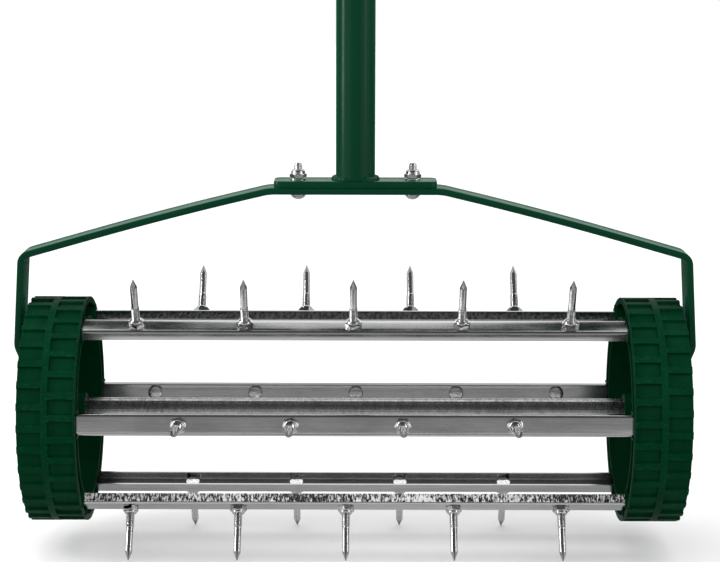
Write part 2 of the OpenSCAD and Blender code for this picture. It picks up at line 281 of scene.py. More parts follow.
def combined(base, tool, operation):
    """The base shape with the tool shape joined on (UNION) or cut away (DIFFERENCE)."""
    a, b = add_mesh("base", base), add_mesh("tool", tool)
    modifier = a.modifiers.new("combine", "BOOLEAN")
    modifier.object, modifier.operation, modifier.solver = b, operation, "MANIFOLD"
    made = a.evaluated_get(bpy.context.evaluated_depsgraph_get()).to_mesh()
    shape = [v.co.copy() for v in made.vertices], [list(p.vertices) for p in made.polygons]
    for used in (a, b):
        mesh = used.data
        bpy.data.objects.remove(used)
        bpy.data.meshes.remove(mesh)
    return shape


def piece(body, name, shape, finish, *nodes, sharp=35):
    """A piece in the material of its finish, (material, slot), that rides on a body and stands for the CAD
    nodes. The slot is not used.
    """
    material, slot = finish
    made = add_mesh(name, shape)
    made.data.materials.append(material)
    made.data.shade_smooth()
    made.data.set_sharp_from_angle(angle=math.radians(sharp))
    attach(made, body)
    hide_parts(*nodes)
    return made


# ---------------------------------------------------------------- materials

class Paint:
    """A Principled material under construction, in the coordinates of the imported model."""

    def __init__(self, name, metallic=0.0, ior=1.5):
        self.material = bpy.data.materials.new(name)
        self.material.use_nodes = True
        self.nodes = self.material.node_tree.nodes
        self.links = self.material.node_tree.links
        self.shader = self.nodes["Principled BSDF"]
        self.shader.inputs["Metallic"].default_value = metallic
        self.shader.inputs["IOR"].default_value = ior
        self.place = self.nodes.new("ShaderNodeTexCoord").outputs["Object"]

    def stretched(self, x, y, z):
        scale = self.nodes.new("ShaderNodeMapping")
        scale.inputs["Scale"].default_value = (x, y, z)
        self.links.new(self.place, scale.inputs["Vector"])
        return scale.outputs["Vector"]

    def noise(self, scale, detail=3.0, rough=0.5, stretch=None):
        """Cloudy noise, with scale in features per metre."""
        node = self.nodes.new("ShaderNodeTexNoise")
        node.inputs["Scale"].default_value = scale
        node.inputs["Detail"].default_value = detail
        node.inputs["Roughness"].default_value = rough
        self.links.new(self.stretched(*stretch) if stretch else self.place, node.inputs["Vector"])
        return node.outputs["Fac"]

    def cells(self, scale, stretch=None):
        """Random grey per crystal-like cell."""
        node = self.nodes.new("ShaderNodeTexVoronoi")
        node.inputs["Scale"].default_value = scale
        self.links.new(self.stretched(*stretch) if stretch else self.place, node.inputs["Vector"])
        grey = self.nodes.new("ShaderNodeRGBToBW")
        self.links.new(node.outputs["Color"], grey.inputs["Color"])
        return grey.outputs["Val"]

    def ramp(self, value, *stops):
        """Colours or greys against a 0 to 1 value: each stop is (place, colour or grey)."""
        node = self.nodes.new("ShaderNodeValToRGB")
        ramp = node.color_ramp
        while len(ramp.elements) < len(stops):
            ramp.elements.new(0.5)
        for element, (at, colour) in zip(ramp.elements, stops):
            element.position = at
            element.color = (*colour, 1) if isinstance(colour, tuple) else (colour,) * 3 + (1,)
        self.links.new(value, node.inputs["Fac"])
        return node.outputs["Color"]

    def maths(self, a, b, how="ADD"):
        """Two values, each a socket or a plain number, worked into one."""
        node = self.nodes.new("ShaderNodeMath")
        node.operation = how
        for socket, value in zip(node.inputs, (a, b)):
            if isinstance(value, float):
                socket.default_value = value
            else:
                self.links.new(value, socket)
        return node.outputs["Value"]

    def mix(self, amount, a, b, how="MIX"):
        """Two colours mixed: each input is a socket or a plain value."""
        node = self.nodes.new("ShaderNodeMix")
        node.data_type, node.blend_type = "RGBA", how
        for socket, value in zip((node.inputs[0], node.inputs[6], node.inputs[7]), (amount, a, b)):
            if isinstance(value, float):
                socket.default_value = value
            elif isinstance(value, tuple):
                socket.default_value = (*value, 1)
            else:
                self.links.new(value, socket)
        return node.outputs[2]

    def bump(self, *layers):
        """Stacks bumps: each layer is (height, depth in metres, strength)."""
        normal = None
        for height, depth, strength in layers:
            node = self.nodes.new("ShaderNodeBump")
            node.inputs["Distance"].default_value = depth
            node.inputs["Strength"].default_value = strength
            self.links.new(height, node.inputs["Height"])
            if normal is not None:
                self.links.new(normal, node.inputs["Normal"])
            normal = node.outputs["Normal"]
        self.links.new(normal, self.shader.inputs["Normal"])

    def set(self, colour, roughness):
        """Links the colour and roughness, and returns the finished material."""
        self.links.new(colour, self.shader.inputs["Base Color"])
        self.links.new(roughness, self.shader.inputs["Roughness"])
        return self.material

    def from_axle(self):
        """Distance from the axle's line, in metres."""
        split = self.nodes.new("ShaderNodeSeparateXYZ")
        self.links.new(self.place, split.inputs["Vector"])
        y = self.maths(split.outputs["Y"], 2.0, "POWER")
        up = self.maths(split.outputs["Z"], -AXLE.z)
        z = self.maths(up, 2.0, "POWER")
        return self.maths(self.maths(y, z), 0.5, "POWER")


PLASTIC_IOR = 1.45


def powder_coat():
    """Glossy green powder coat with a faint orange peel, dusty specks and a green sheen."""
    p = Paint("green_powder_coat", ior=PLASTIC_IOR)
    broad, speck, peel = p.noise(22, 2), p.noise(1400, 2), p.noise(420, 2, 0.4)
    colour = p.ramp(broad, (0.3, (0.0004, 0.031, 0.0125)), (0.7, (0.0008, 0.036, 0.0155)))
    dust = p.ramp(speck, (0.66, (0.0, 0.0, 0.0)), (0.74, (0.004, 0.014, 0.009)))
    p.shader.inputs["Specular IOR Level"].default_value = 0.14
    p.shader.inputs["Sheen Weight"].default_value = 0.22
    p.shader.inputs["Sheen Roughness"].default_value = 0.4
    p.shader.inputs["Sheen Tint"].default_value = (0.1, 0.6, 0.36, 1)
    p.bump((peel, 0.15 * MM, 0.25), (p.noise(2600, 1), 0.02 * MM, 0.3))
    return p.set(p.mix(1.0, colour, dust, "ADD"), p.ramp(p.noise(130, 4), (0.3, 0.12), (0.7, 0.22)))


def moulded_green():
    """Satin polypropylene: paler in patches on the tops of the ribs, with a faint flow pattern."""
    p = Paint("green_moulded_plastic", ior=PLASTIC_IOR)
    flow = p.noise(35, 4, stretch=(3, 1, 1))
    colour = p.ramp(flow, (0.3, (0.0002, 0.025, 0.0085)), (0.7, (0.0006, 0.033, 0.0122)))
    # Only the tops of the ribs, from about 83 mm out, are paler in patches
    top = p.ramp(p.maths(p.from_axle(), 10.0, "MULTIPLY"), (0.828, 0.0), (0.842, 1.0))
    pale_patch = p.ramp(p.noise(700, 5, 0.7, stretch=(0.35, 1, 1)), (0.55, 0.0), (0.75, 1.0))
    pale_tops = p.maths(top, pale_patch, "MULTIPLY")
    colour = p.mix(pale_tops, colour, (0.005, 0.07, 0.035))
    p.shader.inputs["Specular IOR Level"].default_value = 0.03
    p.bump((p.noise(1500, 3, 0.6), 0.05 * MM, 0.35), (p.noise(180, 2), 0.1 * MM, 0.15))
    return p.set(colour, p.ramp(p.noise(260, 3), (0.3, 0.34), (0.7, 0.46)))


def strip_zinc():
    """Zinc-plated strip with fine drawing lines along the rail and cloudy patches."""
    p = Paint("drawn_zinc_strip", metallic=1.0)
    lines = p.noise(1.0, 4, 0.65, stretch=(14, 2600, 2600))
    cloud = p.noise(60, 4, 0.6, stretch=(0.5, 1, 1))
    colour = p.mix(0.45, p.ramp(cloud, (0.3, (0.5, 0.5, 0.505)), (0.7, (0.68, 0.68, 0.685))),
                   p.ramp(lines, (0.3, (0.42, 0.42, 0.425)), (0.7, (0.78, 0.78, 0.785))))
    p.bump((lines, 0.02 * MM, 0.5), (cloud, 0.05 * MM, 0.3))
    return p.set(colour, p.ramp(cloud, (0.3, 0.13), (0.7, 0.22)))


def flange_zinc():
    """Flanges where the plating is rough and glitters in streaks across the flange."""
    p = Paint("streaked_zinc", metallic=1.0)
    grain = p.noise(1.0, 2, 0.5, stretch=(420, 260, 260))
    colour = p.ramp(grain, (0.35, (0.3, 0.3, 0.3)), (0.62, (0.8, 0.8, 0.805)))
    p.bump((grain, 0.3 * MM, 1.0), (p.noise(1800, 2), 0.03 * MM, 0.4))
    return p.set(colour, p.ramp(grain, (0.3, 0.2), (0.7, 0.1)))


def glint_streaked_zinc():
    """A flange of rough zinc with painted glints in short white streaks, which are matt white, not metal."""
    p = Paint("glint_streaked_zinc")
    grain = p.noise(1.0, 4, 0.7, stretch=(900, 300, 300))
    patch = p.noise(30, 3, 0.6, stretch=(1, 0.2, 0.2))
    # The mask of the painted glints: where it is high the flange is matt white instead of metal
    glint = p.ramp(p.maths(grain, p.maths(patch, 0.3, "MULTIPLY")), (0.62, 0.0), (0.74, 1.0))
    colour = p.mix(glint, (0.3, 0.3, 0.3), (0.78, 0.78, 0.77))
    p.links.new(p.ramp(glint, (0.2, 1.0), (0.8, 0.0)), p.shader.inputs["Metallic"])
    p.bump((grain, 0.2 * MM, 0.8))
    return p.set(colour, p.ramp(glint, (0.0, 0.2), (1.0, 0.6)))


def mottled_zinc():
    """The centre tube: dull zinc with a rough crystalline mottle."""
    p = Paint("mottled_zinc", metallic=1.0)
    grain = p.noise(1.0, 5, 0.75, stretch=(520, 260, 260))
    patch = p.noise(28, 3, stretch=(0.6, 1, 1))
    crystal = p.cells(420, stretch=(1, 0.5, 0.5))
    colour = p.mix(0.6, p.ramp(grain, (0.36, (0.1, 0.1, 0.1)), (0.62, (0.55, 0.55, 0.56))),
                   p.ramp(crystal, (0.2, (0.16, 0.16, 0.16)), (0.8, (0.5, 0.5, 0.5))))
    colour = p.mix(p.ramp(patch, (0.35, 0.15), (0.65, 0.6)), colour, (0.6, 0.6, 0.61))
    p.bump((grain, 0.1 * MM, 0.7), (crystal, 0.05 * MM, 0.4))
    return p.set(colour, p.ramp(grain, (0.3, 0.32), (0.7, 0.16)))


def bright_zinc(name, shaded_points=False):
    """Bright-plated fasteners and spikes with dull spots, and with painted shade that darkens the spikes'
    conical points.
    """
    p = Paint(name, metallic=1.0)
    spots = p.noise(900, 4, 0.65)
    colour = p.ramp(spots, (0.32, (0.46, 0.46, 0.47)), (0.58, (0.84, 0.84, 0.85)))
    if shaded_points:
        # The points start 112.5 mm out, which is 0.9 when multiplied by 8; there painted shade halves their
        # colour
        point = p.ramp(p.maths(p.from_axle(), 8.0, "MULTIPLY"), (0.896, 1.0), (0.904, 0.5))
        colour = p.mix(1.0, colour, point, "MULTIPLY")
    p.bump((p.noise(2200, 3), 0.02 * MM, 0.35), (p.noise(420, 2), 0.2 * MM, 0.5))
    return p.set(colour, p.ramp(p.noise(500, 3), (0.3, 0.08), (0.7, 0.18)))


def grip_rubber():
    """Dusty black rubber."""
    p = Paint("grip_rubber")
    dust = p.ramp(p.noise(160, 5, 0.6), (0.45, (0.012, 0.012, 0.013)), (0.8, (0.035, 0.034, 0.033)))
    p.bump((p.noise(1800, 3), 0.08 * MM, 0.5), (p.cells(900), 0.05 * MM, 0.3))
    return p.set(dust, p.ramp(p.noise(300, 3), (0.3, 0.55), (0.7, 0.75)))


def bush_nylon():
    p = Paint("black_nylon")
    colour = p.ramp(p.noise(200, 4), (0.3, (0.015, 0.015, 0.016)), (0.7, (0.03, 0.03, 0.03)))
    p.bump((p.noise(1600, 3), 0.04 * MM, 0.4))
    return p.set(colour, p.ramp(p.noise(400, 3), (0.3, 0.35), (0.7, 0.5)))


# A finish is a material and the record's slot for it. The two flange materials are for some of a
# rail's faces only, and have no slot of their own.
GREEN_PAINT = powder_coat(), "green_paint"
GREEN_PLASTIC = moulded_green(), "green_plastic"
RAIL_ZINC = strip_zinc(), "rail_zinc"
FLANGE_ZINC = flange_zinc()
GLINT_ZINC = glint_streaked_zinc()
TUBE_ZINC = mottled_zinc(), "tube_zinc"
BRIGHT_ZINC = bright_zinc("bright_zinc_plate"), "bright_zinc"
# The spikes' conical points carry painted shade
SPIKE_ZINC = bright_zinc("bright_zinc_spikes", shaded_points=True), "bright_zinc"
RUBBER = grip_rubber(), "grip_rubber"
NYLON = bush_nylon(), "bush_plastic"


# ---------------------------------------------------------------- fork, plate and handle

BAR_T = 5 * MM
BAR_EDGE = 0.9 * MM
BEND_STEPS = 8
FOOT_STEPS = 12
M6_HOLE_R = 3.3 * MM
AXLE_HOLE_R = 4.3 * MM
TUBE_WALL = 1.5 * MM
TUBE_EDGE = 0.4 * MM
FORK_HEAD_R = 5.9 * MM
JOINT_HEAD_R = 5.2 * MM


def fork_corners():
    """Corners of the bar's middle line from the centre to the foot: (x, height over the axle, radius)."""
    low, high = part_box("fork_bar")
    rise = high.z - AXLE.z - BAR_T / 2
    knee_out, leg_in = 4.3 * MM, 6 * MM
    shoulder = high.x - BAR_T / 2 - knee_out
    leg = shoulder - leg_in
    level = 64 * MM
    return [(0, rise, 0),
            (level, rise, 40 * MM),
            (level + 0.39 * (shoulder - level), rise - 16.9 * MM, 2600 * MM),
            (shoulder, rise - 48.8 * MM, 7.5 * MM),
            (shoulder + knee_out, 49.8 * MM, 12 * MM),
            (leg, 24.5 * MM, 12 * MM),
            (leg, low.z - AXLE.z, 0)]


def rounded_path(corners):
    """Points and outward normals along a line whose corners are rounded."""
    flat = [Vector((x, z)) for x, z, _ in corners]
    made = [(flat[0], Vector((0, 1)))]
    for before, p, after, (_, _, r) in zip(flat, flat[1:], flat[2:], corners[1:]):
        a, b = (p - before).normalized(), (after - p).normalized()
        turn = a.angle_signed(b)
        side = -1 if turn > 0 else 1
        left = Vector((-a.y, a.x))
        start = p - a * r * math.tan(abs(turn) / 2)
        centre = start + side * r * left
        for k in range(BEND_STEPS + 1):
            n = Matrix.Rotation(-turn * k / BEND_STEPS, 2) @ left
            made.append((centre - side * r * n, n))
    made.append((flat[-1], Vector((1, 0))))
    return made


def bar_section(half_w):
    """A flat bar's rounded section: (across, outward) points."""
    return rounded_rect(2 * half_w, BAR_T, min(BAR_EDGE, 0.9 * half_w), 3)


def fork_shape():
    """The flat bar bent over the drum, with half-round feet and its four holes."""
    low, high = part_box("fork_bar")
    half_w = (high.y - low.y) / 2
    path = rounded_path(fork_corners())
    foot, _ = path.pop()
    stations = [(p, n, half_w) for p, n in path[1:]]
    for k in range(FOOT_STEPS + 1):
        t = TAU / 4 * k / FOOT_STEPS
        stations.append((Vector((foot.x, -half_w * math.sin(t))), Vector((1, 0)),
                         max(half_w * math.cos(t), 1.2 * MM)))

    def rings(sign):
        return [[(sign * (p.x + n.x * out), across, p.y + n.y * out) for across, out in bar_section(w)]
                for p, n, w in stations]

    shape = skin(rings(-1)[::-1] + rings(1))
    bolt_holes = copies(drill(M6_HOLE_R, -9 * MM, 9 * MM),
                        [Matrix.Translation((x, 0, path[0][0].y)) for x in bolt_places()])
    axle_hole = placed(drill(AXLE_HOLE_R, -high.x, high.x), Matrix.Rotation(TAU / 4, 4, "Y"))
    shape = combined(shape, joined([bolt_holes, axle_hole]), "DIFFERENCE")
    return placed(shape, Matrix.Translation(AXLE))


def bolt_places():
    """X of the two fork bolts."""
    low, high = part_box("fork_bolts")
    return low.x + FORK_HEAD_R, high.x - FORK_HEAD_R


def plate_shape():
    low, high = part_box("handle_plate")
    shape = slab(high.x - low.x, high.y - low.y, 6 * MM, low.z, high.z, 0.9 * MM, steps=10)
    holes = copies(drill(M6_HOLE_R, low.z - 5 * MM, high.z + 5 * MM),
                   [Matrix.Translation((x, 0, 0)) for x in bolt_places()])
    return combined(shape, holes, "DIFFERENCE")


def bead_shape(path, size, ripples, seed):
    """A weld bead of stacked ripples along a path of (point, outward), thin at both ends."""
    rings, around = [], 14
    count = len(path)
    for k, (p, out) in enumerate(path):
        ahead = (path[min(k + 1, count - 1)][0] - path[max(k - 1, 0)][0]).normalized()
        across = out.cross(ahead).normalized()
        share = k / (count - 1)
        end = min(1.0, 6 * min(share, 1 - share) + 0.25)
        wave = 1 + 0.1 * math.cos(TAU * ripples * share)
        lump = 1 + 0.35 * noise.noise(p * 260 + Vector((seed, 0, 0)))
        r = size * end * wave * lump
        rings.append([p + r * (math.cos(t) * out + math.sin(t) * across)
                      for t in (TAU * j / around for j in range(around))])
    return skin(rings)


def plate_bead():
    """Two beads round the foot of the tube, left and right, where the plate is wide enough."""
    low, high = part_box("lower_tube")
    r, z = (high.x - low.x) / 2, low.z
    reach, up = 72, Vector((0, 0, 1))
    beads = []
    for side in (-1, 1):
        path = []
        for k in range(reach + 1):
            t = math.radians(-reach + 2 * k)
            out = Vector((side * math.cos(t), math.sin(t), 0))
            p = out * (r + 0.5 * MM) + Vector((0, 0, z + 0.6 * MM))
            path.append((p, (out + up).normalized()))
        beads.append(bead_shape(path, 2.5 * MM, ripples=12, seed=7 * side))
    return joined(beads)


def tube(r, low, high):
    return hollow(r - TUBE_WALL, r, low, high, TUBE_EDGE, FINE_STEPS)


def upright_tube(node, *cutters):
    """An upright tube cut by the shapes given, and by the holes for the joint's bolts."""
    low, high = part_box(node)
    shape = tube((high.x - low.x) / 2, low.z, high.z)
    return combined(shape, joined([joint_holes(), *cutters]), "DIFFERENCE")


def joint_heights():
    """Z of the two bolts that pin the tubes together."""
    low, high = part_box("tube_bolts")
    return low.z + JOINT_HEAD_R, high.z - JOINT_HEAD_R


def joint_holes():
    along_y = Matrix.Rotation(TAU / 4, 4, "X")
    return copies(drill(M6_HOLE_R, -25 * MM, 25 * MM),
                  [Matrix.Translation((0, 0, z)) @ along_y for z in joint_heights()])


def crossbar_sizes():
    """The crossbar's radius and the X of its end."""
    low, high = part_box("crossbar")
    return (high.z - low.z) / 2, high.x


def along_crossbar():
    return Matrix.Translation(middle("crossbar")) @ Matrix.Rotation(TAU / 4, 4, "Y")


def upper_tube_shape():
    r, _ = crossbar_sizes()
    saddle = placed(drill(r, -2 * r, 2 * r, FINE_STEPS), along_crossbar())
    return upright_tube("upper_tube", saddle)


def crossbar_shape():
    r, end = crossbar_sizes()
    return placed(tube(r, -end, end), along_crossbar())


def crossbar_bead():
    """A bead along each side of the saddle between the upper tube and the crossbar."""
    r, _ = crossbar_sizes()
    centre = middle("crossbar")
    beads, steps = [], 60
    for side in (-1, 1):
        path = []
        for k in range(steps + 1):
            t = math.radians(-66 + 2.2 * k)
            p = Vector((side * r * math.cos(t), r * math.sin(t), -r * math.cos(t)))
            out = Vector((side * math.cos(t), 0.8 * math.sin(t), -math.cos(t))).normalized()
            path.append((centre + p + 0.3 * MM * out, out))
        beads.append(bead_shape(path, 2.1 * MM, ripples=10, seed=3 * side))
    return joined(beads)


def grip_shape():
    """A push-on grip from its closed outer end inwards: finger ribs between two smooth collars."""
    low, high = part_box("right_grip")
    length, r = high.x - low.x, (high.z - low.z) / 2
    bar_r, _ = crossbar_sizes()
    end_r, vent_r, closed_end, mouth = 5 * MM, 0.8 * MM, 4 * MM, 1 * MM
    ribs, groove = 9, 1.7 * MM
    arc = [TAU / 4 * k / 6 for k in range(7)]
    profile = [(vent_r, 0), (r - end_r, 0)]
    profile += [(r - end_r + end_r * math.sin(t), end_r - end_r * math.cos(t)) for t in arc[1:]]
    first, last = 2 * end_r, length - 2 * end_r
    count = ribs * 12
    for k in range(count + 1):
        share = k / count
        dip = 0.5 - 0.5 * math.cos(TAU * ribs * share)
        profile.append((r - groove * dip ** 2, first + share * (last - first)))
    profile += [(r - end_r + end_r * math.cos(t), length - end_r + end_r * math.sin(t)) for t in arc[:-1]]
    profile += [(bar_r + mouth, length), (bar_r, length - mouth), (bar_r, closed_end), (vent_r, closed_end)]
    return lathe(profile, steps=64, closed=True)


def grip_on(side):
    _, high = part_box("right_grip")
    inward = Matrix.Rotation(-side * TAU / 4, 4, "Y")
    return placed(grip_shape(), Matrix.Translation((side * high.x, 0, middle("right_grip").z)) @ inward)


# ---------------------------------------------------------------- fasteners on the frame

M6_ROOT = 2.62 * MM
M6_CREST = 3.0 * MM
M6_PITCH = 1.0 * MM
M6_NUT_W = 11 * MM
M6_BORE_R = 3.05 * MM
M6_THREADED = 12 * MM
M8_ROOT = 3.5 * MM
M8_CREST = 4 * MM
M8_PITCH = 1.25 * MM
M8_NUT_W = 13 * MM
M8_NUT_H = 8 * MM
M8_BORE_R = 4.05 * MM
AXLE_THREADED = 16 * MM
END_CHAMFER = 0.5 * MM


def on_fork(shape, z, turns=(0, 0)):
    """The shape at both fork bolts, upright from height z, each turned by its own angle."""
    return copies(shape, [Matrix.Translation((x, 0, z)) @ Matrix.Rotation(turn, 4, "Z")
                          for x, turn in zip(bolt_places(), turns)])


def on_joint(shape, y):
    """The shape at both bolts of the tube joint, pointing back from y."""
    back = Matrix.Rotation(-TAU / 4, 4, "X")
    return copies(shape, [Matrix.Translation((0, y, z)) @ back for z in joint_heights()])


def fork_bolt_shape():
    """A dome-headed bolt from under the fork up through the plate, with its thread showing."""
    low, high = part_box("fork_bolts")
    height = high.z - low.z
    head_h, crown_r, dome_steps = 4.8 * MM, 0.6 * MM, 8
    items = []
    for k in range(dome_steps + 1):
        t = TAU / 4 * (1 - 0.94 * k / dome_steps)
        items.append((max(FORK_HEAD_R * math.cos(t), crown_r), head_h * (1 - math.sin(t))))
    items += [(FORK_HEAD_R, head_h - 0.25 * MM), (FORK_HEAD_R - 0.25 * MM, head_h), (M6_ROOT, head_h),
              Thread(M6_ROOT, M6_CREST, height - M6_THREADED, height - 0.9 * MM, M6_PITCH),
              (M6_ROOT - END_CHAMFER, height)]
    return on_fork(turned(items), low.z)


def fork_nut_shape():
    low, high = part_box("fork_nuts")
    one = nut(M6_NUT_W, high.z - low.z, M6_BORE_R, collar=3.2 * MM, collar_share=0.94)
    return on_fork(one, low.z, (0.1, -0.08))


def fork_washer_shape():
    low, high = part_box("fork_washers")
    return on_fork(washer(6 * MM, 3.2 * MM, high.z - low.z), low.z)


def joint_bolt_shape():
    """Two bolts across the tube joint, heads to the front."""
    low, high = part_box("tube_bolts")
    length, head_h = high.y - low.y, 3.3 * MM
    items = [(0.6 * MM, 0), (2.4 * MM, 0.25 * MM), (4.1 * MM, 1.1 * MM), (4.9 * MM, 2.1 * MM),
             (JOINT_HEAD_R, head_h - 0.3 * MM), (JOINT_HEAD_R - 0.2 * MM, head_h), (M6_ROOT, head_h),
             Thread(M6_ROOT, M6_CREST, length - M6_THREADED, length - 0.7 * MM, M6_PITCH),
             (M6_ROOT - END_CHAMFER, length)]
    return on_joint(turned(items), low.y)


def joint_nut_shape():
    low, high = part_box("tube_nuts")
    return on_joint(nut(M6_NUT_W, high.y - low.y, M6_BORE_R, collar=2.2 * MM), low.y)


def axle_rod_shape():
    """The rod, threaded at both ends."""
    _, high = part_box("axle_rod")
    end = high.x
    items = [(M8_ROOT - END_CHAMFER, -end), (M8_ROOT, -end + 0.6 * MM),
             Thread(M8_ROOT, M8_CREST, -end + 0.7 * MM, -end + AXLE_THREADED, M8_PITCH),
             (M8_CREST, -end + AXLE_THREADED + 0.5 * MM), (M8_CREST, end - AXLE_THREADED - 0.5 * MM),
             (M8_ROOT, end - AXLE_THREADED),
             Thread(M8_ROOT, M8_CREST, end - AXLE_THREADED + 0.1 * MM, end - 0.7 * MM, M8_PITCH),
             (M8_ROOT - END_CHAMFER, end)]
    return placed(turned(items), along_axle(1))


def on_both_ends(node, shape):
    """The shape set on both ends of the axle, from the node's inner face outwards."""
    inner_x = min(round(abs(v.co.x), 6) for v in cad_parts[node].data.vertices)
    return copies(shape, [along_axle(side, inner_x) for side in (-1, 1)])


# ---------------------------------------------------------------- drum

WHEEL_W = 42.2 * MM
RIB_COUNT = 33
RIB_W = 5.2 * MM
RIB_BEVEL = 0.25 * MM
RIB_DRAFT = 0.3 * MM
RIB_LEAD = math.radians(1.5)
HALF_PITCH = TAU / RIB_COUNT / 2
TREAD_DEPTH = 2 * MM
BEVEL_SHARE = 0.12
RIM_EDGE = 0.35 * MM
RIM_IN_R = 79.7 * MM
RING_R = 69.6 * MM
POCKET_DEEP = 29.5 * MM


def wheel_sizes():
    """The wheel's radius, and how far from the drum's middle its inner plane is."""
    low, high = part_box("right_wheel")
    return (high.z - low.z) / 2, high.x - WHEEL_W


def rib_breaks(wheel_r):
    """From a rib's middle: (angle, share of the tread's depth) at its top, softened edge and foot."""
    half = RIB_W / 2 / wheel_r
    bevel, draft = RIB_BEVEL / wheel_r, RIB_DRAFT / wheel_r
    return ((0.0, 0.0), (half - bevel, 0.0), (half, BEVEL_SHARE), (half + draft, 1.0))


def recess_at(offset, breaks):
    """How much of the full depth the tread has at an angle from the nearest rib's middle."""
    offset = abs(offset)
    for (a0, d0), (a1, d1) in zip(breaks, breaks[1:]):
        if offset <= a1:
            return d0 + (d1 - d0) * max(0.0, offset - a0) / (a1 - a0)
    return 1.0


def tread_angles(lead, breaks):
    """Every angle round the wheel at which either row of ribs changes height."""
    made = []
    for k in range(2 * RIB_COUNT):
        centre = lead + k * HALF_PITCH
        made += [centre + side * a for a, _ in breaks[1:] for side in (-1, 1)]
    return sorted(made)


def tread_columns():
    """Across the tread from the inner plane: (x, share of the depth where there is no rib, row)."""
    lip, row, band = 1.3 * MM, 18.3 * MM, 5.1 * MM
    a, b, c = lip, lip + row, lip + row + band
    return [(0.45 * MM, 0, 0), (a - RIB_BEVEL, 0, 0), (a, BEVEL_SHARE, 0), (a + RIB_DRAFT, 1, 0),
            (b - RIB_DRAFT, 1, 0), (b, BEVEL_SHARE, 0), (b + RIB_BEVEL, 0, 0),
            (c - RIB_BEVEL, 0, 1), (c, BEVEL_SHARE, 1), (c + RIB_DRAFT, 1, 1),
            (WHEEL_W - 0.4 * MM, 1, 1)]


def wheel_section(wheel_r):
    """The plain part of the section, from the tread's outer edge round the inside and back."""
    w, r, e = WHEEL_W, RIM_IN_R, RIM_EDGE
    web_in, web_out, hub_in, face = 28 * MM, 31 * MM, 2.7 * MM, 35.2 * MM
    hub_r, boss_r, bore = 11.5 * MM, 14 * MM, 8 * MM
    ring_in = RING_R - 2 * MM
    fillet = 1.2 * MM
    near = 0.3 * fillet
    floor_r = wheel_r - TREAD_DEPTH
    return [(floor_r - 0.5 * MM, w), (r + e, w), (r, w - e),
            (r, web_out + fillet), (r - near, web_out + near), (r - fillet, web_out),
            (boss_r + fillet, web_out), (boss_r + near, web_out + near),
            (boss_r, web_out + fillet), (boss_r, face - e), (boss_r - e, face),
            (bore + e, face), (bore, face - e), (bore, hub_in + e), (bore + e, hub_in),
            (hub_r - e, hub_in), (hub_r, hub_in + e),
            (hub_r, web_in - fillet), (hub_r + near, web_in - near), (hub_r + fillet, web_in),
            (ring_in - fillet, web_in), (ring_in - near, web_in - near),
            (ring_in, web_in - fillet), (ring_in, e), (ring_in + e, 0),
            (RING_R - e, 0), (RING_R, e),
            (RING_R, web_in - fillet), (RING_R + near, web_in - near), (RING_R + fillet, web_in),
            (r - fillet, web_in), (r - near, web_in - near),
            (r, web_in - fillet), (r, e), (r + e, 0),
            (wheel_r - 0.45 * MM, 0), (wheel_r - 0.13 * MM, 0.13 * MM)]


def wheel_shape(side, lead):
    """One wheel: the ribbed tyre, web, ring wall and hub, with its rail pockets and stiffeners."""
    wheel_r, inner_x = wheel_sizes()
    breaks = rib_breaks(wheel_r)
    start = rail_turn(1) + lead
    angles = tread_angles(start, breaks)

    def at(r, x, t):
        return (side * (inner_x + x), -r * math.cos(t), r * math.sin(t))

    rings = []
    for x, share, row in tread_columns():
        ring = []
        for t in angles:
            offset = (t - start - row * HALF_PITCH) % (2 * HALF_PITCH)
            offset = min(offset, 2 * HALF_PITCH - offset)
            drop = TREAD_DEPTH * min(share, recess_at(offset, breaks))
            ring.append(at(wheel_r - drop, x, t))
        rings.append(ring)
    rings.append([at(math.hypot(y, z) - RIM_EDGE, WHEEL_W, t) for (_, y, z), t in zip(rings[-1], angles)])
    rings += [[at(r, x, t) for t in angles] for r, x in wheel_section(wheel_r)]
    shape = skin(rings, closed=True)
    return placed(combined(shape, pockets_and_stiffeners(side), "UNION"), Matrix.Translation(AXLE))


def pockets_and_stiffeners(side):
    """A wall each side of every rail's end, and a low rib on the web's outer face between them."""
    _, inner_x = wheel_sizes()
    wall_t, reach, gap, wall_edge = 1.8 * MM, 1 * MM, 0.15 * MM, 0.4 * MM
    wall_w, wall_low = POCKET_DEEP + reach, RING_R - 1 * MM
    wall_high = wall_low + (RIM_IN_R - RING_R + 3.2 * MM)
    wall = slab(wall_w, wall_t, wall_edge, wall_low, wall_high, wall_edge, 3)
    rib = slab(6 * MM, 2.4 * MM, 0.6 * MM, 12 * MM, RIM_IN_R + 1 * MM, 0.5 * MM, 3)
    wall_x, rib_x = side * (inner_x - reach + wall_w / 2), side * (inner_x + 32.5 * MM)
    made = []
    for i in RAILS:
        turn = on_rail(i)
        turn.translation = (0, 0, 0)
        for up in (-1, 1):
            shift = Matrix.Translation((wall_x, up * (RAIL_W / 2 + gap + wall_t / 2), 0))
            made.append(placed(wall, turn @ shift))
        half_step = Matrix.Rotation(-TAU / 12, 4, "X") @ turn
        made.append(placed(rib, half_step @ Matrix.Translation((rib_x, 0, 0))))
    return joined(made)


RAIL_R = 78 * MM
RAIL_W = 16 * MM
RAIL_DEPTH = 8 * MM
RAIL_T = 1.2 * MM
RAIL_EDGE = 2.1 * MM
RAIL_ARC_STEPS = 6
TOE_IN = math.tan(math.radians(4))
PUNCH_PITCH = 79.5 * MM
SPIKE_HOLE_R = 3.2 * MM
SPIKE_HEAD_R = 5.75 * MM
SPIKE_NUT_H = 5.4 * MM
SPIKE_ROOT = 2.5 * MM
TIP_R = 119 * MM
POINT_LONG = 6.5 * MM


